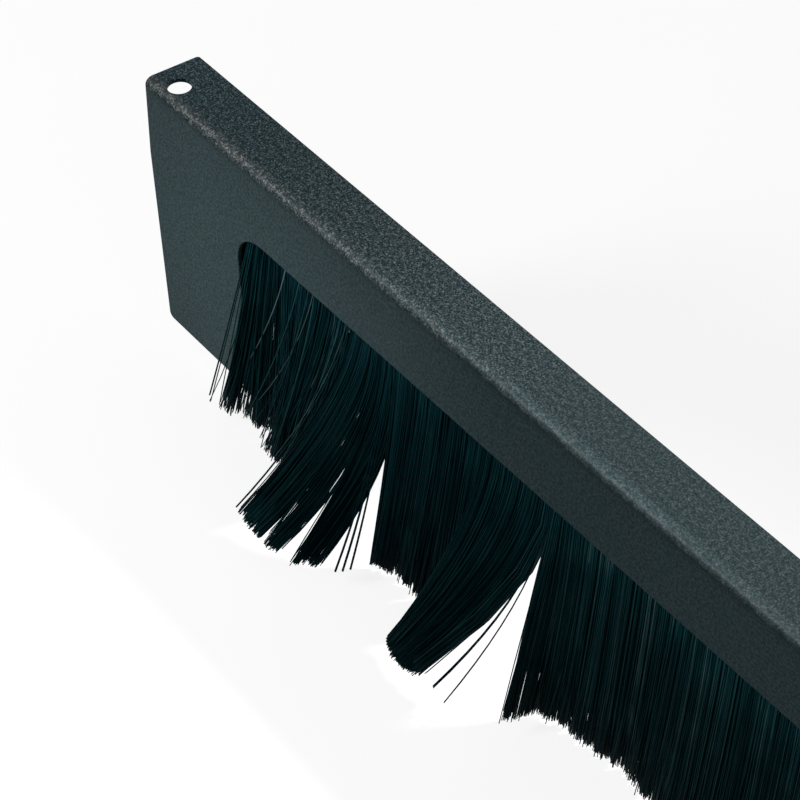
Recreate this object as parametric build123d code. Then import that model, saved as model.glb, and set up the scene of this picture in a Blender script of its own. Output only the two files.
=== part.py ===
from build123d import *
import math
import os

# Brush strip panel for a rack's cable entry, in millimetres.
# X runs along the panel, Y points to the rear and Z points up.
# The origin is midway between the two flange holes, on the flange's upper face.
# The panel is one folded sheet: a face with a wide cut-out that is open at the bottom,
# and a flange bent to the rear along its top. Behind the strip above the cut-out a crimped
# channel holds the bristles, and a joggled retainer on welded studs clamps the channel.

# Panel sheet
panel_width = 482.6
panel_height = 88.1
sheet = 1.5
bend_inside = 0.8
flange_depth = 16.6
flange_inset = 3.0
flange_corner = 1.0
relief_depth = 1.8
relief_height = 26.0
leg_width = 40.2
strip_height = 25.9
cutout_corner = 12.0
leg_corner = 2.0
edge_round = 0.3

# Holes for the mounting screws
hole_diameter = 6.6
hole_from_end = 10.5
hole_from_face = 5.3

# Crimped channel, and how far it reaches behind each leg and above the cut-out's edge
channel_width = 6.0
channel_height = 9.0
channel_wall = 0.6
channel_bend = 0.3
channel_mouth = 3.0
channel_past_cutout = 8.0
channel_above_cutout = 1.7

# Retainer strip
retainer_sheet = 1.2
retainer_bend = 0.5
retainer_lip = 1.3
retainer_above_stud = 5.0
retainer_short = 1.0

# Studs, washers and nuts
stud_count = 5
stud_diameter = 4.0
stud_end_chamfer = 0.5
stud_past_nut = 1.6
stud_inset = 22.0
stud_below_flange = 7.5
collar_diameter = 5.0
collar_thickness = 0.7
washer_diameter = 8.0
washer_thickness = 0.8
nut_across_flats = 7.0
nut_thickness = 3.2
nut_chamfer = 0.4

# Bristles, folded over the core wire, and the tufts that stand for them below the channel
wire_diameter = 1.6
bristle_length = 71.0
tail_below_channel = 1.5
tuft_pitch = 3.0
tuft_gap = 0.2
tuft_start_inset = 0.15
tuft_overlap = 0.8
tuft_tip_width_share = 0.62
tuft_tip_thickness_share = 0.6
ragged_share = 0.012
ragged_turn = 2.4

# Clearances and the overrun of cuts
fit = 0.05
hole_clearance = 0.3
group_gap = 0.1
overrun = 5.0

# Each group of bristles: the stretch of the brush that it covers, how late it bends, how many
# straight steps a tuft is made of, and places along that stretch with the sideways and
# rearward travel of its tips. Stretches are shares of the brush, places are shares of the
# stretch, travel is shares of the bristles' length. The bend is the power that the travel
# follows down a bristle.
group_shares = {
    "bristles_left_end": (0.0, 0.133, 1.2, 2, (
        (0.0, 0.0, 0.0), (0.16, 0.0, 0.0), (0.21, 0.0, -0.05), (0.255, -0.13, -0.18),
        (0.36, -0.06, -0.06), (0.64, -0.08, -0.06), (1.0, -0.2, -0.12))),
    "bristles_first_sweep": (0.133, 0.186, 2.0, 4, (
        (0.0, -0.2, -0.5), (0.5, -0.12, -0.48), (0.85, -0.09, -0.38), (1.0, -0.07, -0.3))),
    "bristles_middle": (0.186, 0.2455, 1.2, 2, (
        (0.0, -0.02, -0.21), (0.3, -0.03, -0.14), (1.0, -0.05, -0.13))),
    "bristles_second_sweep": (0.2455, 0.3135, 2.0, 4, (
        (0.0, 0.03, -0.39), (0.5, -0.07, -0.42), (0.9, -0.13, -0.43), (1.0, -0.07, -0.43))),
    "bristles_right_run": (0.3135, 1.0, 1.2, 2, (
        (0.0, 0.07, -0.24), (0.03, 0.01, -0.12), (0.147, 0.0, -0.07), (0.958, 0.0, -0.06),
        (0.965, 0.0, 0.0), (1.0, 0.0, 0.0))),
}

# Planes and lines that several pieces share
bend_outside = bend_inside + sheet
face_y = -hole_from_face
rear_y = face_y + sheet
hole_x = panel_width / 2 - hole_from_end
channel_bottom = -strip_height + channel_above_cutout
channel_top = channel_bottom + channel_height
channel_y = rear_y + channel_width / 2
brush_start = -panel_width / 2 + leg_width - channel_past_cutout
brush_length = -2 * brush_start
stud_z = -sheet - stud_below_flange
stud_reach = retainer_sheet + washer_thickness + nut_thickness + stud_past_nut
stud_span = brush_length - 2 * stud_inset
stud_places = [stud_span * (n / (stud_count - 1) - 1 / 2) for n in range(stud_count)]
pack_half = channel_width / 2 - channel_wall - fit
wire_z = channel_top - channel_wall - fit - pack_half
tail_half = channel_mouth / 2 - fit
tail_bottom = channel_bottom - tail_below_channel


def folded_strip(points, thickness, inside, length):
    """A strip of one thickness that follows a bent line in the YZ plane, centred along X."""
    with BuildPart() as strip:
        with BuildSketch(Plane.YZ):
            with BuildLine():
                FilletPolyline(*points, radius=inside + thickness / 2)
            trace(line_width=thickness)
        extrude(amount=length / 2, both=True)
    return strip.part


def panel_outline():
    """The folded sheet's full section: the face and the flange on top of it."""
    middle_y = face_y + sheet / 2
    middle_z = -sheet / 2
    points = [(middle_y, -panel_height), (middle_y, middle_z), (face_y + flange_depth, middle_z)]
    return folded_strip(points, sheet, bend_inside, panel_width)


def tapered(body, side):
    """Cuts one end on a slant that narrows the face towards the bend, and the flange after it."""
    face_slope = relief_depth / relief_height
    flange_slope = (flange_inset - relief_depth) / flange_depth
    start = (side * panel_width / 2, face_y, -relief_height)
    slant = Plane(origin=start, z_dir=(side, flange_slope, face_slope))
    return split(body, bisect_by=slant, keep=Keep.BOTTOM)


def cutout():
    """The wide opening, with two round corners at the top and open at the bottom."""
    half = panel_width / 2 - leg_width
    bottom = -panel_height - overrun
    with BuildPart() as opening:
        with BuildSketch(Plane.XZ) as outline:
            Polygon((-half, -strip_height), (half, -strip_height), (half, bottom), (-half, bottom), align=None)
            fillet(outline.vertices().group_by(Axis.Y)[-1], cutout_corner)
        extrude(amount=flange_depth + overrun, both=True)
    return opening.part


def screw_hole(side):
    """The cutter of one mounting hole in the flange."""
    cutter = Cylinder(hole_diameter / 2, bend_outside + overrun)
    return Pos(side * hole_x, 0, (overrun - bend_outside) / 2) * cutter


def lies_at(low, high, *planes):
    """True if a stretch from low to high has no length and lies in one of the planes."""
    return any(abs(low - plane) < fit and abs(high - plane) < fit for plane in planes)


def soft_edge(edge):
    """True for an edge of the face below the bend, of the flange behind it or of the bend's ends."""
    box = edge.bounding_box()
    of_face = lies_at(box.min.Y, box.max.Y, face_y, rear_y) and box.min.Z < -bend_outside - fit
    of_flange = lies_at(box.min.Z, box.max.Z, 0, -sheet) and box.max.Y > face_y + bend_outside + fit
    return of_face or of_flange or edge.geom_type == GeomType.ELLIPSE


def make_panel():
    body = panel_outline()
    for side in (-1, 1):
        body = tapered(body, side)
        body -= screw_hole(side)
    body -= cutout()
    low_corners = body.edges().filter_by(Axis.Y).group_by(Axis.Z)[0]
    body = fillet(low_corners, leg_corner)
    rear_corners = body.edges().group_by(Axis.Y)[-1].filter_by(Axis.X, reverse=True)
    body = fillet(rear_corners, flange_corner)
    return fillet(body.edges().filter_by(soft_edge), edge_round)


def make_retainer():
    front_y = rear_y + retainer_sheet / 2
    step_z = channel_top + fit + retainer_sheet / 2
    back_y = rear_y + channel_width + fit + retainer_sheet / 2
    lip_z = channel_bottom - fit - retainer_sheet / 2
    lip_y = rear_y + channel_width - retainer_lip
    points = [
        (front_y, stud_z + retainer_above_stud),
        (front_y, step_z),
        (back_y, step_z),
        (back_y, lip_z),
        (lip_y, lip_z),
    ]
    strip = folded_strip(points, retainer_sheet, retainer_bend, brush_length - 2 * retainer_short)
    drill = Rot(90, 0, 0) * Cylinder(collar_diameter / 2 + hole_clearance, 2 * (retainer_sheet + overrun))
    for place in stud_places:
        strip -= Pos(place, rear_y, stud_z) * drill
    return strip


def make_channel():
    wall_y = channel_width / 2 - channel_wall / 2
    low_z = channel_bottom + channel_wall / 2
    high_z = channel_top - channel_wall / 2
    points = [
        (channel_y - channel_mouth / 2, low_z),
        (channel_y - wall_y, low_z),
        (channel_y - wall_y, high_z),
        (channel_y + wall_y, high_z),
        (channel_y + wall_y, low_z),
        (channel_y + channel_mouth / 2, low_z),
    ]
    return folded_strip(points, channel_wall, channel_bend, brush_length)


def make_core_wire():
    return Pos(0, channel_y, wire_z) * Rot(0, 90, 0) * Cylinder(wire_diameter / 2, brush_length)


def along_rear(shape, place):
    """Turns a shape built up from Z = 0 so that it grows rearwards from the panel at one stud."""
    return Pos(place, rear_y, stud_z) * Rot(-90, 0, 0) * shape


def grown(shape, start, height):
    """Moves a centred shape so that it runs from start over its own height."""
    return Pos(0, 0, start + height / 2) * shape


def make_stud(place):
    shank = grown(Cylinder(stud_diameter / 2, stud_reach), 0, stud_reach)
    shank = chamfer(shank.edges().sort_by(Axis.Z)[-1], stud_end_chamfer)
    collar = grown(Cylinder(collar_diameter / 2, collar_thickness), 0, collar_thickness)
    return along_rear(shank + collar, place)


def make_washer(place):
    disc = Cylinder(washer_diameter / 2, washer_thickness)
    disc -= Cylinder(stud_diameter / 2 + fit, washer_thickness + overrun)
    return along_rear(grown(disc, retainer_sheet, washer_thickness), place)


def make_nut(place):
    corner_radius = nut_across_flats / math.sqrt(3)
    hexagon = extrude(RegularPolygon(corner_radius, 6), amount=nut_thickness / 2, both=True)
    cone_height = corner_radius + nut_thickness
    dome = Cylinder(corner_radius, nut_thickness)
    dome = chamfer(dome.edges().filter_by(GeomType.CIRCLE), nut_chamfer)
    body = hexagon & dome
    body -= Cylinder(stud_diameter / 2 + fit, cone_height)
    return along_rear(grown(body, retainer_sheet + washer_thickness, nut_thickness), place)


def lean_at(places, share):
    """The sideways and rearward travel at one share of a group, between its given places."""
    for low, high in zip(places, places[1:]):
        if share <= high[0]:
            step = (share - low[0]) / (high[0] - low[0])
            return [low[k] + step * (high[k] - low[k]) for k in (1, 2)]
    return list(places[-1][1:])


def tuft(root_x, side_share, rear_share, bend, steps, length, width, thickness):
    """One tuft: level rectangles, joined by flat sides, from the channel to the tips."""
    side = side_share * length
    rear = rear_share * length
    drop = math.sqrt(length ** 2 - side ** 2 - rear ** 2)
    top_z = tail_bottom + tuft_overlap
    sections = []
    for step in range(steps + 1):
        share = step / steps
        travel = share ** bend
        w = width * (1 - share * (1 - tuft_tip_width_share))
        t = thickness * (1 - share * (1 - tuft_tip_thickness_share))
        place = Pos(root_x + side * travel, channel_y + rear * travel, top_z - drop * share)
        sections.append(place * Rectangle(w, t))
    return loft(sections, ruled=True)


def bristle_root(start, end):
    """The folded ends of one group, packed round the core wire and out of the channel's mouth."""
    shoulder_z = channel_bottom + channel_wall + channel_bend + fit
    with BuildPart() as root:
        with BuildSketch(Plane.YZ.offset(start)):
            with Locations((channel_y, wire_z)):
                Circle(pack_half)
            with Locations((channel_y, (wire_z + shoulder_z) / 2)):
                Rectangle(2 * pack_half, wire_z - shoulder_z)
            with Locations((channel_y, (wire_z + tail_bottom) / 2)):
                Rectangle(2 * tail_half, wire_z - tail_bottom)
            with Locations((channel_y, wire_z)):
                Circle(wire_diameter / 2 + fit, mode=Mode.SUBTRACT)
        extrude(amount=end - start)
    return root.part


def make_bristles(stretch):
    start_share, end_share, bend, steps, places = stretch
    start = brush_start + start_share * brush_length + group_gap / 2
    end = brush_start + end_share * brush_length - group_gap / 2
    count = max(1, round((end - start) / tuft_pitch))
    pitch = (end - start) / count
    tufts = []
    for n in range(count):
        share = (n + 1 / 2) / count
        side_share, rear_share = lean_at(places, share)
        ragged = math.sin(ragged_turn * n) * ragged_share
        length = bristle_length * (1 + ragged)
        thickness = 2 * (tail_half - tuft_start_inset)
        tufts.append(tuft(start + pitch * (n + 1 / 2), side_share + ragged / 2, rear_share + ragged,
                          bend, steps, length, pitch - tuft_gap, thickness))
    return bristle_root(start, end).fuse(*tufts)


def save(name, shape):
    export_step(shape, os.path.join("parts", name + ".step"))


def main():
    os.makedirs("parts", exist_ok=True)
    save("panel", make_panel())
    save("retainer", make_retainer())
    save("channel", make_channel())
    save("core_wire", make_core_wire())
    for n, place in enumerate(stud_places, start=1):
        save(f"stud_{n}", make_stud(place))
        save(f"washer_{n}", make_washer(place))
        save(f"nut_{n}", make_nut(place))
    for name, stretch in group_shares.items():
        save(name, make_bristles(stretch))


main()
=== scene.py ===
import math

import bpy
import numpy as np
from mathutils import Matrix, Vector


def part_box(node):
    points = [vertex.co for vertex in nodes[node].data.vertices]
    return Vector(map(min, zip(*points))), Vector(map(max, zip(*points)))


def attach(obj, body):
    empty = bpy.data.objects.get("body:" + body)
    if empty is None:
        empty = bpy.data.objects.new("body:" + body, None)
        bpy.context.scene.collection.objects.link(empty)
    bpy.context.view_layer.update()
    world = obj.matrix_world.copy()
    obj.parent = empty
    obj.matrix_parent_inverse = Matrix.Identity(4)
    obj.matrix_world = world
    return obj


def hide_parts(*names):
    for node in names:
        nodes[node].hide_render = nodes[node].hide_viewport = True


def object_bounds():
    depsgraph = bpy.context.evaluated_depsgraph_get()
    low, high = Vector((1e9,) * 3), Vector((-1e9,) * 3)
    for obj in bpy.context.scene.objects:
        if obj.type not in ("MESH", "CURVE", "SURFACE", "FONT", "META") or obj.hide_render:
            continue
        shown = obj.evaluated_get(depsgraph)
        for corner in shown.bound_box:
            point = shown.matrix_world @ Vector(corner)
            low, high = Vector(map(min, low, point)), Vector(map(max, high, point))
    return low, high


# The looks of the rack brush strip panel. The sheet and the fixings keep their CAD form and get
# materials. The bristles become single strands, and the studs get a thread.

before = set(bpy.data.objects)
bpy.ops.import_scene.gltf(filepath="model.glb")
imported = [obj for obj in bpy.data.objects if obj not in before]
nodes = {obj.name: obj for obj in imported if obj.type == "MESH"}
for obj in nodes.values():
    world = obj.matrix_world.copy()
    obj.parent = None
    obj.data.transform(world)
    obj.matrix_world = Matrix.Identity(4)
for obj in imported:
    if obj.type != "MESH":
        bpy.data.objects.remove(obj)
cad_lo, cad_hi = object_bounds()
MM = 0.001

# Sizes in mm, read from the frame. x of a guide counts from the panel's left end, y from its face.
panel_lo, panel_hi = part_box("panel")
channel_lo, channel_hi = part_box("channel")
wire_lo, wire_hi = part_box("core_wire")
LEFT = panel_lo.x / MM
FACE = panel_lo.y / MM
CHANNEL_Y = (channel_lo.y + channel_hi.y) / 2 / MM
MOUTH_Z = channel_lo.z / MM
WIRE_Z = (wire_lo.z + wire_hi.z) / 2 / MM
BRUSH_START = channel_lo.x / MM - LEFT
BRUSH_END = channel_hi.x / MM - LEFT

# Strands in mm: where they leave the channel, their size, and how much thinner their tips are
ROOT_Z = MOUTH_Z + 1.0
MOUTH_HALF = 1.35
STRAND_RADIUS = 0.175
STRAND_LENGTH = 71.0
TIP_SHARE = 0.8
STRAND_SIDES = 3

# Strands keep inside the box of the plain bristle blocks.
FOREMOST = cad_lo.y / MM + 0.25
LOWEST = cad_lo.z / MM + 0.1

# Where each group of bristles ends and the next one starts
FIRST = 87.8
MIDDLE = 110.0
SECOND = 134.9
RIGHT = 163.3

# How unlike one another the strands of a group are. A range is the least and the greatest factor.
POWER_RANGE = (0.95, 1.05)
CLUMP_WIDTH_RANGE = (0.4, 1.7)
CLUMP_PULL_RANGE = (0.5, 1.2)
CLUMP_DRIFT = 0.6
STRAND_DRIFT = 0.45
STRAND_LENGTH_SPREAD = 0.006

# In mm: the margin of a group's roots, a clump's spread of length, how much shorter some strands
# are, and how far strands bow sideways and forwards. SHORT_STRANDS is the share of short ones.
ROOT_MARGIN = 0.1
CLUMP_LENGTH_SPREAD = 0.4
SHORTER_BY = 4
SHORT_STRANDS = 0.06
BOW_SPREAD = (0.22, 0.18)

# A strand's tone goes from 0 to 1. The shape is the two values of a beta curve with that mean.
TONE_SHAPE = (1.8, 3.0)
TONE_MEAN = 0.37
CLUMP_TONE_SPREAD = 0.04
ASTRAY_TONE = 0.25
BLOCK_TONE = 0.2

# Loose strands that are placed one by one
STRAY_POINTS = 13
STRAY_RADIUS = STRAND_RADIUS * 1.05
STRAY_ROOT_FORWARD = 1.0
STRAY_SPREAD = (0.3, 0.2, 0.2)

# The block of folded ends in the channel, in mm
BLOCK_RADIUS = 2.3
BLOCK_SHOULDER = 1.1
BLOCK_NECK_TOP = 0.8
BLOCK_NECK_END = 0.3
BLOCK_INSET = 0.3
ARCH_POINTS = 13

# Studs, in mm
THREAD_PITCH = 0.7
THREAD_DEPTH = 0.26
THREAD_SIDES = 24
ROWS_IN_A_PITCH = 6
STUD_CHAMFER = 0.5

# Paint. The scales of its noises count waves in a metre.
SKIN_SCALE = 1350
SMALL_GRAIN_SCALE = 2200
LARGE_GRAIN_SCALE = 850
CLOUD_SCALE = 35
PATCH_SCALE = 420
GLINT_SCALE = 1100
DUST_SCALE = 330
DUST_PATCH_SCALE = 190
SMALL_GRAIN_SHARE = 0.66
LARGE_GRAIN_SHARE = 0.34
FACE_DARK = (0.0100, 0.0202, 0.0228)
FACE_LIGHT = (0.0124, 0.0238, 0.0264)
FACE_GRAIN = (0.0320, 0.0500, 0.0545)
DUST_COLOUR = (0.14, 0.16, 0.16)

# Round the bend in mm: its outer radius, how far the lines below reach before and past its start,
# where the coarse grains begin, and how much that wavers
BEND_OUTSIDE = 2.3
BEFORE_BEND = 4.0
PAST_BEND = 8.0
GRAINS_BEGIN = -1.5
GRAINS_FULL = 1.2
BEND_WAVER = 0.25

# The grains stand out most at the left end, as painted grazing light: places along the panel in metres, and
# the strength.
BOLD_PLACES = (-0.225, -0.065)
BOLDNESS = (1.9, 0.50)
PAINT_LEFT = -240.0

# Lines of the paint as (place, value) stops. Across the bend, place 0 is before it and 1 is past it. The
# first line brightens the base colour as a painted highlight on the bend, with painted shade in a dark line
# where the bend begins.
BEND_PAINTED_LIGHT = (
    (0.0, 0.50), (0.15, 0.48), (0.28, 0.38), (0.34, 0.37), (0.39, 0.50), (0.45, 0.67),
    (0.525, 0.76), (0.60, 0.74), (0.66, 0.68), (0.72, 0.60), (0.80, 0.53), (0.90, 0.51))
BEND_SHINE = ((0.0, 0.01), (0.33, 0.01), (0.44, 0.13), (0.54, 0.30), (0.66, 0.24), (0.80, 0.08))

# Along the panel, 0 is near its left end and 1 is its middle. These lines are painted light: the bend's
# highlight along the run, and the flange's brightness and tint.
BEND_HIGHLIGHT_ALONG = ((0.0, 0.26), (0.2, 0.34), (0.41, 0.44), (0.65, 0.56), (0.8, 0.60), (1.0, 0.48))
FLANGE_PAINTED_LIGHT = (
    (0.10, (0.54, 0.74, 0.80)), (0.37, (0.78, 0.78, 0.78)), (0.60, (0.97, 0.88, 0.86)),
    (1.0, (0.96, 0.87, 0.84)))
FLANGE_PAINTED_LIGHT_SCALE = (1.28, 1.28, 1.28)

# Colours of the coat's grains, from the dips to the peaks: painted shade in the dips and painted glints on
# the peaks. The warm and cool tints after them are painted glints on the bend.
FLANGE_GRAINS_AND_GLINTS = (
    (0.36, (0.0006, 0.0060, 0.0080)), (0.42, (0.0020, 0.0095, 0.0120)),
    (0.50, (0.0130, 0.0255, 0.0285)), (0.60, (0.0660, 0.0830, 0.0870)),
    (0.72, (0.1500, 0.1700, 0.1750)))
GLINTS = ((0.40, (0.84, 0.99, 1.05)), (0.60, (1.14, 1.03, 0.96)))

# Strands, from the darkest to the palest, and how much paler they are from the tips to the roots,
# with the heights of both in mm. The palest colours are painted highlights on single strands.
TIPS_Z = -96.0
ROOTS_Z = -24.0
STRAND_COLOURS = (
    (0.0, (0.0002, 0.0042, 0.0058)), (0.35, (0.0009, 0.0105, 0.0130)),
    (0.65, (0.0055, 0.0260, 0.0290)), (1.0, (0.0600, 0.0820, 0.0850)))
STRAND_PALENESS = (
    (0.0, 0.32), (0.35, 0.34), (0.57, 0.40), (0.75, 0.54), (0.89, 0.72), (1.0, 0.84))

# Floor, lamps, world and camera. The camera's place is in mm, from the panel's left end and face.
FLOOR_REACH = 3.0
FLOOR_GREY = (0.26, 0.26, 0.26)
FLOOR_LIFT = 0.80
WORLD_STRENGTH = 0.45
WHITE = (1.0, 1.0, 1.0)
SPOT_RADIUS = 0.05
SENSOR_WIDTH = 36.0
LENS = 109.08
CAMERA_PLACE = (451.58, -253.47, 397.39)
CAMERA_RIGHT = (0.61417561, 0.78887556, -0.02153308)
CAMERA_UP = (-0.55421645, 0.45058634, 0.69986862)
CAMERA_BACK = (0.56181176, -0.41790824, 0.71394695)


class Graph:
    """A short way to write the nodes of a material or a world."""

    def __init__(self, owner, output="OutputMaterial"):
        owner.use_nodes = True
        self.owner = owner
        self.tree = owner.node_tree
        self.tree.nodes.clear()
        self.out = self.node(output)

    def put(self, socket, value):
        """Links a socket to the input, or sets the input to a plain value."""
        if isinstance(value, bpy.types.NodeSocket):
            self.tree.links.new(value, socket)
            return
        if value is None:
            return
        if isinstance(value, (tuple, list)) and len(value) == 3 and len(socket.default_value) == 4:
            value = (*value, 1.0)
        socket.default_value = value

    def node(self, kind, settings=None, **inputs):
        """Adds a node. An input is given by its name, or by i and its number."""
        made = self.tree.nodes.new("ShaderNode" + kind)
        for key, value in (settings or {}).items():
            setattr(made, key, value)
        for key, value in inputs.items():
            numbered = key[0] == "i" and key[1:].isdigit()
            place = int(key[1:]) if numbered else key.replace("_", " ")
            self.put(made.inputs[place], value)
        return made

    def coords(self):
        return self.node("TexCoord").outputs["Object"]

    def axes(self, vector):
        return self.node("SeparateXYZ", Vector=vector).outputs

    def noise(self, vector, scale, detail=2.0, rough=0.5):
        made = self.node("TexNoise", Vector=vector, Scale=scale, Detail=detail, Roughness=rough)
        return made.outputs["Fac"]

    def ramp(self, fac, *stops):
        """A colour ramp through (place, colour) stops."""
        made = self.node("ValToRGB", Fac=fac)
        elements = made.color_ramp.elements
        while len(elements) < len(stops):
            elements.new(0.5)
        for element, (place, colour) in zip(elements, stops):
            element.position = place
            element.color = (*colour, 1.0)
        return made.outputs["Color"]

    def line(self, fac, scale, *stops):
        """A curve of plain numbers through (place, value) stops, times a scale."""
        grey = self.ramp(fac, *[(place, (value, value, value)) for place, value in stops])
        red = self.node("SeparateColor", Color=grey).outputs[0]
        return self.math("MULTIPLY", red, scale)

    def span(self, value, a, b, c=0.0, d=1.0, smooth=False):
        """Takes a..b to c..d and stays inside it."""
        kind = "SMOOTHSTEP" if smooth else "LINEAR"
        made = self.node("MapRange", {"interpolation_type": kind}, i0=value, i1=a, i2=b, i3=c, i4=d)
        return made.outputs[0]

    def math(self, op, a, b=None):
        made = self.node("Math", {"operation": op}, i0=a)
        self.put(made.inputs[1], b)
        return made.outputs[0]

    def mix(self, fac, a, b, mode="MIX"):
        made = self.node("Mix", {"data_type": "RGBA", "blend_type": mode})
        self.put(made.inputs["Factor"], fac)
        self.put(made.inputs[6], a)
        self.put(made.inputs[7], b)
        return made.outputs[2]

    def grey(self, value):
        return self.node("CombineColor", i0=value, i1=value, i2=value).outputs[0]

    def bump(self, height, distance, strength):
        return self.node("Bump", Height=height, Distance=distance, Strength=strength).outputs["Normal"]

    def finish(self, **inputs):
        bsdf = self.node("BsdfPrincipled")
        for key, value in inputs.items():
            self.put(bsdf.inputs[key.replace("_", " ")], value)
        self.tree.links.new(bsdf.outputs[0], self.out.inputs["Surface"])
        return self.owner


def paint(name):
    """Black powder coat: a fine smooth skin on the face, coarser grains from the bend up, lightened by
    painted glints, with painted shade in their dips and painted light on the bend and along the flange.
    """
    g = Graph(bpy.data.materials.new(name))
    p = g.coords()
    x, y, z = g.axes(p)[:3]
    fine = g.noise(p, SKIN_SCALE, 3.0, 0.6)
    small = g.math("MULTIPLY", g.noise(p, SMALL_GRAIN_SCALE, 2.0, 0.6), SMALL_GRAIN_SHARE)
    large = g.math("MULTIPLY", g.noise(p, LARGE_GRAIN_SCALE, 2.0, 0.6), LARGE_GRAIN_SHARE)
    grain = g.math("ADD", small, large)
    cloud = g.noise(p, CLOUD_SCALE, 3.0, 0.55)
    patch = g.noise(p, PATCH_SCALE, 2.0, 0.5)

    # The grains stand out most at the left end and are fainter along the run: painted grazing light at the
    # left end.
    bold = g.span(x, *BOLD_PLACES, *BOLDNESS)
    grain = g.math("ADD", g.math("MULTIPLY", g.math("SUBTRACT", grain, 0.5), bold), 0.5)

    # How far round the bend a point is, in metres: below 0 on the face, above 4.6 mm on the flange.
    round_bend = g.math("ADD", g.math("SUBTRACT", y, FACE * MM), g.math("ADD", z, BEND_OUTSIDE * MM))
    waver = g.span(patch, 0.3, 0.7, -BEND_WAVER * MM, BEND_WAVER * MM)
    round_bend = g.math("ADD", round_bend, waver)
    top = g.span(round_bend, GRAINS_BEGIN * MM, GRAINS_FULL * MM, smooth=True)
    place = g.span(round_bend, -BEFORE_BEND * MM, PAST_BEND * MM)
    along = g.span(x, PAINT_LEFT * MM, 0.0)
    painted_highlight_along = g.line(along, 2.0, *BEND_HIGHLIGHT_ALONG)
    bend_painted_light = g.line(place, 2.0, *BEND_PAINTED_LIGHT)
    shine = g.line(place, 1.0, *BEND_SHINE)

    face_colour = g.ramp(cloud, (0.3, FACE_DARK), (0.7, FACE_LIGHT))
    face_colour = g.mix(g.span(fine, 0.36, 0.64), face_colour, FACE_GRAIN)
    top_colour = g.ramp(grain, *FLANGE_GRAINS_AND_GLINTS)
    # Painted light: the flange is painted cooler and darker at the left end, and a little lighter and warmer
    # along the run, as the light falls on it.
    lit_flange = g.mix(1.0, top_colour, g.ramp(along, *FLANGE_PAINTED_LIGHT), "MULTIPLY")
    lit_flange = g.mix(1.0, lit_flange, FLANGE_PAINTED_LIGHT_SCALE, "MULTIPLY")
    top_colour = g.mix(g.span(place, 0.64, 0.80), top_colour, lit_flange)
    colour = g.mix(top, face_colour, top_colour)
    # Painted highlight on the bend, and painted shade in a dark line where the bend begins.
    colour = g.mix(1.0, colour, g.grey(bend_painted_light), "MULTIPLY")

    # Painted highlight: the bend is painted darker at the left end and brighter some way along, and its
    # grains get painted glints, warm or cool.
    on_bend = g.math("MULTIPLY", g.span(place, 0.30, 0.44), g.span(place, 0.84, 0.68))
    glint = g.ramp(g.noise(p, GLINT_SCALE, 1.0, 0.5), *GLINTS)
    glint = g.mix(1.0, glint, g.grey(painted_highlight_along), "MULTIPLY")
    colour = g.mix(on_bend, colour, g.mix(1.0, colour, glint, "MULTIPLY"))

    # A few specks of dust.
    specks = g.node("TexVoronoi", {"feature": "F1"}, Vector=p, Scale=DUST_SCALE).outputs["Distance"]
    dusty = g.span(g.noise(p, DUST_PATCH_SCALE, 0.0, 0.5), 0.62, 0.66)
    dust = g.math("MULTIPLY", g.span(specks, 0.055, 0.03), dusty)
    colour = g.mix(g.math("MULTIPLY", dust, 0.5), colour, DUST_COLOUR)

    height = g.math("ADD", g.math("MULTIPLY", grain, 0.7), g.math("MULTIPLY", fine, 0.3))
    normal = g.bump(height, g.span(top, 0.0, 1.0, 0.00006, 0.00024), 0.6)
    rough = g.span(fine, 0.3, 0.7, 0.46, 0.56)
    return g.finish(Base_Color=colour, Roughness=rough, Normal=normal, Specular_IOR_Level=shine)


def strand_fibre(name):
    """Black nylon strands, a shade apart from one another, with a slight sheen; their palest tones are
    painted highlights.
    """
    g = Graph(bpy.data.materials.new(name))
    tone = g.node("Attribute", {"attribute_name": "tone"}).outputs["Fac"]
    p = g.coords()
    along = g.noise(p, 90, 2.0, 0.5)
    shade = g.math("ADD", tone, g.span(along, 0.35, 0.65, -0.06, 0.06))
    colour = g.ramp(shade, *STRAND_COLOURS)
    # The strands are paler towards their holder.
    depth = g.span(g.axes(p)[2], TIPS_Z * MM, ROOTS_Z * MM)
    pale = g.line(depth, 3.0, *STRAND_PALENESS)
    colour = g.mix(1.0, colour, g.grey(pale), "MULTIPLY")
    rough = g.span(tone, 0.0, 1.0, 0.45, 0.35)
    return g.finish(Base_Color=colour, Roughness=rough, Specular_IOR_Level=0.01)


def plated_steel(name, colour, brushed=(1.0, 1.0, 1.0)):
    """Zinc-plated steel with a faint spangle and rolling lines."""
    g = Graph(bpy.data.materials.new(name))
    p = g.coords()
    stretched = g.node("Mapping", Vector=p, Scale=brushed).outputs[0]
    lines = g.noise(stretched, 900, 4.0, 0.6)
    spots = g.noise(p, 320, 2.0, 0.5)
    dark = tuple(part * 0.72 for part in colour)
    light = tuple(min(1.0, part * 1.15) for part in colour)
    zinc = g.mix(g.span(spots, 0.35, 0.65), dark, colour)
    zinc = g.mix(g.span(lines, 0.3, 0.7, 0.0, 0.35), zinc, light)
    rough = g.span(spots, 0.3, 0.7, 0.28, 0.42)
    return g.finish(Base_Color=zinc, Metallic=1.0, Roughness=rough, Normal=g.bump(lines, 0.00003, 0.5))


ALONG_THE_RUN = (0.03, 1.0, 1.0)
MATERIALS = {
    "panel": paint("panel_paint"),
    "retainer": paint("retainer_paint"),
    "channel": plated_steel("channel_steel", (0.46, 0.47, 0.48), ALONG_THE_RUN),
    "core": plated_steel("wire_steel", (0.42, 0.42, 0.43), ALONG_THE_RUN),
    "stud": plated_steel("stud_steel", (0.58, 0.59, 0.58)),
    "washer": plated_steel("washer_steel", (0.60, 0.61, 0.60)),
    "nut": plated_steel("nut_steel", (0.60, 0.61, 0.60)),
    "bristles": strand_fibre("bristle_fibre"),
}


def kind_of(name):
    return name.split("_")[0]


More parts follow.
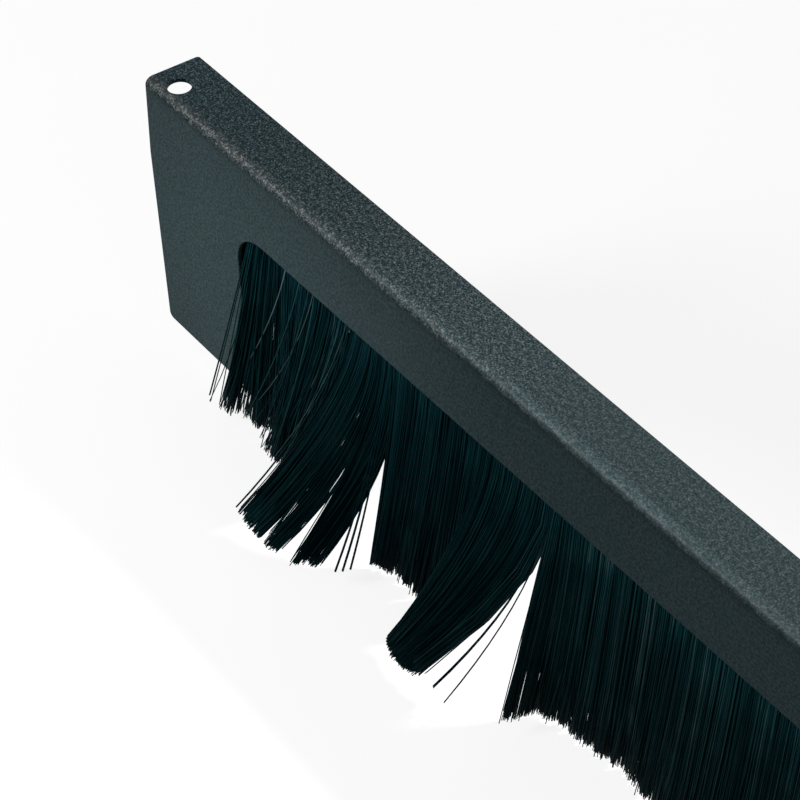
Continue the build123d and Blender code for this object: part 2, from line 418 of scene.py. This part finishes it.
def dress(obj, material):
    obj.data.materials.clear()
    obj.data.materials.append(material)


def mesh_of(name, verts, faces, smooth):
    mesh = bpy.data.meshes.new(name)
    mesh.from_pydata(verts, [], faces)
    mesh.update()
    mesh.polygons.foreach_set("use_smooth", [smooth] * len(mesh.polygons))
    obj = bpy.data.objects.new(name, mesh)
    bpy.context.scene.collection.objects.link(obj)
    return obj


def put_in_place(obj, node_name):
    """Lets a piece take the place of one node of the frame."""
    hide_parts(node_name)
    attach(obj, "root")


def threaded(node_name):
    """A stud with a rolled thread, as long and as thick as the plain one."""
    lo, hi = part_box(node_name)
    centre = (lo + hi) / 2
    radius = (hi.x - lo.x) / 2
    rows = int((hi.y - lo.y) / MM / THREAD_PITCH * ROWS_IN_A_PITCH)
    verts = []
    for row in range(rows + 1):
        y = lo.y + (hi.y - lo.y) * row / rows
        turns = (y - lo.y) / (THREAD_PITCH * MM)
        chamfer = max(0.0, STUD_CHAMFER * MM - (hi.y - y))
        for side in range(THREAD_SIDES):
            groove = abs(2 * ((turns - side / THREAD_SIDES) % 1.0) - 1) * THREAD_DEPTH * MM
            reach = radius - max(groove, chamfer)
            angle = 2 * math.pi * side / THREAD_SIDES
            verts.append((centre.x + reach * math.cos(angle), y, centre.z + reach * math.sin(angle)))
    faces = []
    for row in range(rows):
        base = row * THREAD_SIDES
        for side in range(THREAD_SIDES):
            beside = (side + 1) % THREAD_SIDES
            above = base + THREAD_SIDES
            faces.append([base + side, above + side, above + beside, base + beside])
    faces.append(list(range(THREAD_SIDES)))
    last = rows * THREAD_SIDES
    faces.append([last + side for side in reversed(range(THREAD_SIDES))])
    obj = mesh_of(node_name.replace("stud", "threaded_stud"), verts, faces, smooth=False)
    dress(obj, MATERIALS["stud"])
    put_in_place(obj, node_name)


for name, obj in nodes.items():
    if kind_of(name) != "bristles":
        dress(obj, MATERIALS[kind_of(name)])
for name in sorted(nodes):
    if kind_of(name) == "stud":
        threaded(name)


def strand_mesh(paths, tones, radius, rng):
    """Strands along many paths at once. paths is (count, points, 3) in mm."""
    count, points = paths.shape[:2]
    tangent = np.gradient(paths, axis=1)
    tangent /= np.linalg.norm(tangent, axis=2, keepdims=True)
    side = np.cross(tangent, np.array([0.0, 1.0, 0.0]))
    side /= np.linalg.norm(side, axis=2, keepdims=True)
    other = np.cross(tangent, side)
    turn = rng.uniform(0, 2 * math.pi, count)[:, None, None]
    k = np.arange(STRAND_SIDES)[None, None, :]
    corner = turn + k * 2 * math.pi / STRAND_SIDES
    across = np.cos(corner)[..., None] * side[:, :, None, :]
    through = np.sin(corner)[..., None] * other[:, :, None, :]
    size = np.full((count, points), radius)
    size[:, -1] *= TIP_SHARE
    verts = (paths[:, :, None, :] + (across + through) * size[:, :, None, None]).reshape(-1, 3) * MM

    # Four corners of each side face, then the end faces at the root and at the tip
    base = (np.arange(count) * points * STRAND_SIDES)[:, None, None]
    row = (np.arange(points - 1) * STRAND_SIDES)[None, :, None]
    a = base + row + k
    b = base + row + (k + 1) % STRAND_SIDES
    quads = np.stack([a, b, b + STRAND_SIDES, a + STRAND_SIDES], axis=-1).reshape(-1, 4)
    roots = base[:, 0, 0][:, None] + np.array([2, 1, 0])
    tips = base[:, 0, 0][:, None] + (points - 1) * STRAND_SIDES + np.array([0, 1, 2])
    return verts, quads, np.concatenate([roots, tips]), np.repeat(tones, points * STRAND_SIDES)


def build_strands(name, parts, block):
    """One mesh object out of several sets of strands and a block of plain faces."""
    verts = []
    quads = []
    tris = []
    tones = []
    start = 0
    for some_verts, some_quads, some_tris, some_tones in parts:
        verts.append(some_verts)
        quads.append(some_quads + start)
        tris.append(some_tris + start)
        tones.append(some_tones)
        start += len(some_verts)
    block_verts, block_faces = block
    verts.append(np.array(block_verts) * MM)
    tones.append(np.full(len(block_verts), BLOCK_TONE))
    polys = [[i + start for i in face] for face in block_faces]
    verts = np.concatenate(verts)
    tones = np.concatenate(tones)
    quads = np.concatenate(quads)
    tris = np.concatenate(tris)
    poly_loops = np.array([i for face in polys for i in face])
    poly_sizes = np.array([len(face) for face in polys])
    loops = np.concatenate([quads.ravel(), tris.ravel(), poly_loops])
    sizes = np.concatenate([np.full(len(quads), 4), np.full(len(tris), 3), poly_sizes])
    starts = np.concatenate([[0], np.cumsum(sizes)[:-1]])
    mesh = bpy.data.meshes.new(name)
    mesh.vertices.add(len(verts))
    mesh.vertices.foreach_set("co", verts.astype(np.float32).ravel())
    mesh.loops.add(len(loops))
    mesh.loops.foreach_set("vertex_index", loops.astype(np.int32))
    mesh.polygons.add(len(sizes))
    mesh.polygons.foreach_set("loop_start", starts.astype(np.int32))
    smooth = np.repeat([True, False, False], [len(quads), len(tris), len(polys)])
    mesh.polygons.foreach_set("use_smooth", smooth)
    mesh.update(calc_edges=True)
    mesh.validate()
    attribute = mesh.attributes.new("tone", "FLOAT", "POINT")
    attribute.data.foreach_set("value", tones.astype(np.float32))
    obj = bpy.data.objects.new(name, mesh)
    bpy.context.scene.collection.objects.link(obj)
    dress(obj, MATERIALS["bristles"])
    return obj


def folded_ends(start, end):
    """The strands' folded ends in the channel, as one packed block round the wire."""
    radius = BLOCK_RADIUS
    shoulder = MOUTH_Z + BLOCK_SHOULDER
    neck_top = MOUTH_Z + BLOCK_NECK_TOP
    neck_end = MOUTH_Z - BLOCK_NECK_END
    arch = np.linspace(0, math.pi, ARCH_POINTS)
    outline = [(CHANNEL_Y + radius * math.cos(a), WIRE_Z + radius * math.sin(a)) for a in arch]
    outline += [(CHANNEL_Y - radius, shoulder), (CHANNEL_Y - MOUTH_HALF, neck_top)]
    outline += [(CHANNEL_Y - MOUTH_HALF, neck_end), (CHANNEL_Y + MOUTH_HALF, neck_end)]
    outline += [(CHANNEL_Y + MOUTH_HALF, neck_top), (CHANNEL_Y + radius, shoulder)]
    count = len(outline)
    left = start + LEFT + BLOCK_INSET
    right = end + LEFT - BLOCK_INSET
    verts = [(left, y, z) for y, z in outline] + [(right, y, z) for y, z in outline]
    faces = [[i, (i + 1) % count, count + (i + 1) % count, count + i] for i in range(count)]
    faces.append(list(reversed(range(count))))
    faces.append(list(range(count, 2 * count)))
    return verts, faces


def hanging(roots, lean, power, parting, opening, length, bow, steps):
    """Paths down from the roots. The lean grows with a power for each strand, and the parting
    between clumps opens near the tips only. No strand leaves the plain form's box."""
    s = np.linspace(0, 1, steps + 1)[None, :, None]
    drop = np.sqrt(np.maximum(length ** 2 - ((lean + parting) ** 2).sum(axis=1), 1.0))
    tip_z = np.maximum(MOUTH_Z - drop, LOWEST)
    sideways = lean[:, None, :] * s ** power[:, None, :] + parting[:, None, :] * s ** opening
    sideways += np.sin(s * math.pi) * bow[:, None, :]
    path_xy = roots[:, None, :2] + sideways
    path_xy[:, :, 1] = np.maximum(path_xy[:, :, 1], FOREMOST)
    path_z = roots[:, None, 2:] + (tip_z - roots[:, 2])[:, None, None] * s
    return np.concatenate([path_xy, path_z], axis=2)


# Where the strands rooted at one place end, and how late they bend sideways and forwards. Strands
# up to the last length apart may trade places.
# (root x, tip x, tip y, power sideways, power forwards, trading length)
GUIDES = np.array([
    (32.2, 32.2, 4.2, 1.25, 1.25, 0.0), (40.0, 40.2, 4.2, 1.25, 1.25, 0.0),
    (42.4, 41.8, 1.4, 1.4, 1.1, 0.0), (43.4, 36.0, -5.0, 2.0, 0.85, 0.2), (44.4, 34.0, -5.5, 2.0, 0.8, 0.2),
    (46.0, 36.0, -5.6, 1.9, 0.85, 0.5), (47.6, 38.0, -4.8, 1.9, 0.85, 0.5), (49.0, 42.6, -2.4, 1.5, 1.0, 0.8),
    (52.0, 45.8, -3.0, 1.3, 1.2, 1.0), (56.0, 53.0, 0.0, 1.25, 1.25, 1.5),
    (62.0, 57.0, -1.5, 1.25, 1.25, 1.5),
    (70.0, 60.6, -6.5, 1.3, 1.3, 2.0), (80.0, 63.0, -5.0, 1.3, 1.3, 2.0), (84.0, 69.0, -6.0, 1.4, 1.4, 1.5),
    (87.9, 74.5, -9.5, 1.5, 1.5, 0.8),
    (88.0, 77.4, -29.0, 1.7, 1.7, 0.8), (95.1, 89.9, -30.8, 2.1, 2.1, 1.5),
    (98.7, 97.4, -28.6, 2.6, 2.5, 1.5),
    (104.09, 102.6, -22.0, 2.8, 2.8, 0.8),
    (104.11, 107.5, -8.6, 1.5, 1.5, 0.6), (112.0, 110.8, -7.0, 1.3, 1.3, 1.0),
    (120.0, 117.6, -5.4, 1.25, 1.25, 1.0), (130.0, 128.4, -5.3, 1.25, 1.25, 1.0),
    (139.9, 136.5, -6.0, 1.25, 1.25, 0.8),
    (140.0, 134.4, -23.5, 2.1, 2.1, 0.8), (150.0, 141.6, -26.4, 2.1, 2.1, 1.5),
    (158.0, 146.0, -26.4, 2.15, 2.2, 1.5), (166.49, 150.0, -25.2, 2.15, 2.35, 1.2),
    (166.51, 171.0, -15.5, 2.4, 1.25, 0.6), (169.0, 171.8, -9.5, 1.9, 1.4, 1.0),
    (173.0, 173.8, -4.2, 1.4, 1.4, 1.0), (184.0, 184.0, -3.0, 1.25, 1.25, 1.0),
    (200.0, 198.6, 0.3, 1.25, 1.25, 1.0), (208.0, 206.8, -1.2, 1.25, 1.25, 1.0),
    (240.0, 240.0, 0.2, 1.25, 1.25, 1.0), (438.0, 438.0, 0.2, 1.25, 1.25, 1.0),
    (440.0, 440.0, 3.8, 1.25, 1.25, 0.0), (450.4, 450.2, 4.4, 1.25, 1.25, 0.0)])

# How far tips move sideways where the first sweep parts into three fingers: (root x, shift).
FINGERS = np.array([
    (88.2, 0.0), (95.09, -1.6), (95.11, 1.1), (98.69, -3.4), (98.71, 2.8), (102.0, -0.8), (104.0, 0.0)])


def stray_bundle(root_x, middle, tip, tone, count, rng):
    """A few strands side by side, bent together through a middle point."""
    s = np.linspace(0, 1, STRAY_POINTS)[:, None]
    first = np.array([root_x + LEFT, CHANNEL_Y - STRAY_ROOT_FORWARD, ROOT_Z])
    second = np.array([middle[0] + LEFT, middle[1] + FACE, middle[2]])
    third = np.array([tip[0] + LEFT, tip[1] + FACE, tip[2]])
    curve = (1 - s) ** 2 * first + 2 * s * (1 - s) * second + s ** 2 * third
    aside = rng.uniform(-1, 1, (count, 1, 3)) * np.array(STRAY_SPREAD)
    if count == 1:
        aside[:] = 0.0
    paths = curve[None] + aside * s[None]
    return strand_mesh(paths, np.full(count, tone), STRAY_RADIUS, rng)


def group(
        name, start, end, seed, density, steps, clump, gather, spread, tone, loose, opening=4.5, strays=()):
    """The strands of one group, rooted from start to end. loose is a share and how far those lean
    astray. opening is the power with which clumps part. A stray is (root x, middle point, tip,
    tone, count)."""
    rng = np.random.default_rng(seed)
    count = int((end - start) * density)
    x = np.sort(rng.uniform(start + ROOT_MARGIN, end - ROOT_MARGIN, count))
    root_y = CHANNEL_Y + rng.uniform(-1, 1, count) * (MOUTH_HALF - STRAND_RADIUS)
    roots = np.stack([x + LEFT, root_y, np.full(count, ROOT_Z)], axis=1)
    traded = x + np.interp(x, GUIDES[:, 0], GUIDES[:, 5]) * rng.uniform(-1, 1, count)
    tip_x, tip_y, late_x, late_y = [np.interp(traded, GUIDES[:, 0], GUIDES[:, k]) for k in (1, 2, 3, 4)]
    power = np.stack([late_x, late_y], axis=1) * rng.uniform(*POWER_RANGE, (count, 1))
    lean = np.stack([tip_x - x, tip_y + FACE - CHANNEL_Y], axis=1)

    # Neighbours stick together in clumps of uneven width.
    edges = [start]
    while edges[-1] < end:
        edges.append(edges[-1] + clump * rng.uniform(*CLUMP_WIDTH_RANGE))
    edges = np.array(edges)
    which = np.searchsorted(edges, x, side="right") - 1
    centre = (edges[which] + edges[np.minimum(which + 1, len(edges) - 1)]) / 2
    pull = gather * rng.uniform(*CLUMP_PULL_RANGE, len(edges))[which]
    drift = rng.normal(0, 1, (len(edges), 2))[which] * np.array(spread) * CLUMP_DRIFT
    parting = drift + rng.normal(0, 1, (count, 2)) * np.array(spread) * STRAND_DRIFT
    parting[:, 0] += (centre - x) * pull + np.interp(traded, FINGERS[:, 0], FINGERS[:, 1])
    astray = rng.random(count) < loose[0]
    lean += astray[:, None] * rng.normal(0, 1, (count, 2)) * np.array(loose[1:])

    # Small differences of length, bow and tone
    length = STRAND_LENGTH * (1 + rng.normal(0, STRAND_LENGTH_SPREAD, count))
    length = length + rng.normal(0, CLUMP_LENGTH_SPREAD, len(edges))[which]
    length -= np.where(rng.random(count) < SHORT_STRANDS, rng.uniform(0, SHORTER_BY, count), 0)
    bow = rng.normal(0, 1, (count, 2)) * np.array(BOW_SPREAD)
    shade = tone[0] + tone[1] * (rng.beta(*TONE_SHAPE, count) - TONE_MEAN)
    shade = shade + rng.normal(0, CLUMP_TONE_SPREAD, len(edges))[which]
    shade += astray * ASTRAY_TONE

    paths = hanging(roots, lean, power, parting, opening, length, bow, steps)
    sets = [strand_mesh(paths, np.clip(shade, 0, 1), STRAND_RADIUS, rng)]
    sets += [stray_bundle(*stray, rng) for stray in strays]
    obj = build_strands(name.replace("bristles", "strands"), sets, folded_ends(start, end))
    put_in_place(obj, name)


group(
    "bristles_left_end", BRUSH_START, FIRST, seed=11, density=21.0, steps=6,
    clump=1.5, gather=0.5, spread=(1.8, 1.5), tone=(0.16, 0.7), loose=(0.06, 4.5, 2.0),
    strays=[
        (43.8, (43.4, -3.0, -46.0), (30.5, -7.5, -92.6), 0.35, 2),
        (44.4, (43.8, -3.0, -46.0), (32.0, -8.5, -93.0), 0.35, 2),
        (45.2, (44.6, -3.0, -46.0), (34.5, -7.2, -93.6), 0.35, 2),
        (46.0, (45.4, -3.0, -46.0), (36.0, -6.2, -94.0), 0.35, 3),
        (47.4, (46.4, -2.0, -48.0), (38.5, -3.2, -94.4), 0.35, 2),
        (50.0, (49.4, -2.0, -50.0), (43.0, -2.7, -95.4), 0.35, 2),
        (53.0, (52.4, -2.0, -50.0), (45.4, -2.6, -96.2), 0.35, 2),
        # The paler strays from here on are painted highlights: strands that catch the light.
        (60.0, (59.4, -1.0, -46.0), (33.7, -2.3, -90.6), 0.75, 1),
        (66.0, (65.4, -1.0, -46.0), (44.0, -3.3, -90.6), 0.6, 1),
        (70.0, (69.4, -1.0, -46.0), (52.0, -4.3, -91.6), 0.6, 1),
        (72.0, (71.0, -1.0, -48.0), (45.0, -2.2, -88.6), 0.75, 1),
        (86.5, (85.5, -2.0, -48.0), (63.0, -8.0, -90.5), 0.75, 1),
        (84.0, (83.0, -2.0, -50.0), (62.0, -5.5, -93.0), 0.7, 1),
    ])
group(
    "bristles_first_sweep", FIRST, MIDDLE, seed=12, density=34.0, steps=14,
    clump=0.9, gather=0.2, spread=(0.35, 0.4), tone=(0.28, 0.45), loose=(0.0, 0.0, 0.0),
    opening=6.5, strays=[
        (88.2, (87.0, -5.0, -54.0), (75.8, -29.6, -85.6), 0.3, 2),
        (103.6, (104.2, -2.0, -58.0), (106.0, -19.4, -91.8), 0.25, 5),
        (103.8, (104.6, -2.0, -58.0), (106.6, -17.6, -92.4), 0.25, 3),
        (104.0, (105.0, -2.0, -58.0), (107.2, -15.4, -93.0), 0.25, 4),
    ])
group(
    "bristles_middle", MIDDLE, SECOND, seed=13, density=28.0, steps=5,
    clump=1.3, gather=0.4, spread=(0.6, 1.0), tone=(0.16, 0.5), loose=(0.005, 2.0, 1.0))
group(
    "bristles_second_sweep", SECOND, RIGHT, seed=14, density=30.0, steps=14,
    clump=1.3, gather=0.2, spread=(0.3, 0.4), tone=(0.29, 0.4), loose=(0.0, 0.0, 0.0))
group(
    "bristles_right_run", RIGHT, BRUSH_END, seed=15, density=25.0, steps=4,
    clump=1.4, gather=0.28, spread=(0.7, 1.0), tone=(0.45, 0.6), loose=(0.004, 2.5, 1.0),
    strays=[
        (165.6, (166.0, 2.0, -56.0), (154.6, -25.0, -87.8), 0.2, 5),
        (165.9, (166.0, 2.0, -56.0), (159.0, -25.0, -90.0), 0.2, 3),
    ])


def white_seen(g):
    """1 for rays that look at the surface directly, in a mirror or through glass, else 0."""
    path = g.node("LightPath").outputs
    mirrored = g.math("MAXIMUM", path["Is Glossy Ray"], path["Is Transmission Ray"])
    return g.math("MAXIMUM", path["Is Camera Ray"], mirrored)


def stage_floor():
    """A pale floor: lit by the lamps, and lifted to white for what looks at it directly."""
    z = cad_lo.z - MM
    ends = ((-1, -1), (1, -1), (1, 1), (-1, 1))
    corners = [(x * FLOOR_REACH, y * FLOOR_REACH, z) for x, y in ends]
    floor = mesh_of("floor", corners, [[0, 1, 2, 3]], smooth=False)
    g = Graph(bpy.data.materials.new("floor_pale"))
    lift = g.math("MULTIPLY", white_seen(g), FLOOR_LIFT)
    pale = g.finish(
        Base_Color=FLOOR_GREY, Roughness=0.9, Specular_IOR_Level=0.0,
        Emission_Color=WHITE, Emission_Strength=lift)
    dress(floor, pale)


def lamp(name, kind, place, aim, power, colour=WHITE):
    data = bpy.data.lights.new(name, kind)
    data.energy = power
    data.color = colour
    light = bpy.data.objects.new(name, data)
    bpy.context.scene.collection.objects.link(light)
    light.location = place
    light.rotation_mode = "QUATERNION"
    light.rotation_quaternion = (Vector(aim) - Vector(place)).to_track_quat("-Z", "Y")
    return data


def area(name, place, aim, size, power):
    data = lamp(name, "AREA", place, aim, power)
    data.shape = "DISK"
    data.size = size


def spot(name, place, aim, cone, blend, power, colour=WHITE):
    data = lamp(name, "SPOT", place, aim, power, colour)
    data.spot_size = math.radians(cone)
    data.spot_blend = blend
    data.shadow_soft_size = SPOT_RADIUS


def world_light(strength):
    """An even soft light, white for what looks at it directly."""
    world = bpy.data.worlds.new("studio")
    bpy.context.scene.world = world
    g = Graph(world, "OutputWorld")
    soft = g.node("Background", Color=WHITE, Strength=strength)
    white = g.node("Background", Color=WHITE, Strength=1.0)
    mixed = g.node("MixShader", i0=white_seen(g), i1=soft.outputs[0], i2=white.outputs[0])
    g.tree.links.new(mixed.outputs[0], g.out.inputs["Surface"])


def camera():
    """The photograph's view, from in front of and above the left end."""
    data = bpy.data.cameras.new("camera")
    data.sensor_width = SENSOR_WIDTH
    data.lens = LENS
    data.clip_start = 0.01
    data.clip_end = 20.0
    cam = bpy.data.objects.new("camera", data)
    bpy.context.scene.collection.objects.link(cam)
    place = (Vector(CAMERA_PLACE) + Vector((LEFT, FACE, 0.0))) * MM
    turn = Matrix((CAMERA_RIGHT, CAMERA_UP, CAMERA_BACK)).transposed()
    cam.matrix_world = Matrix.Translation(place) @ turn.to_4x4()
    bpy.context.scene.camera = cam


stage_floor()
world_light(WORLD_STRENGTH)
area("key", place=(-0.60, -0.80, 0.52), aim=(-0.06, 0.0, 0.0), size=0.25, power=4.9)
spot(
    "left", place=(-0.25, -1.10, -0.05), aim=(-0.198, -0.005, -0.054),
    cone=8.8, blend=0.4, power=38.5, colour=(1.0, 0.92, 0.90))
spot("top", place=(0.15, 0.6, 0.9), aim=(-0.055, 0.0, 0.0), cone=12.0, blend=0.6, power=56.0)
camera()
bpy.context.scene.view_settings.view_transform = "Standard"
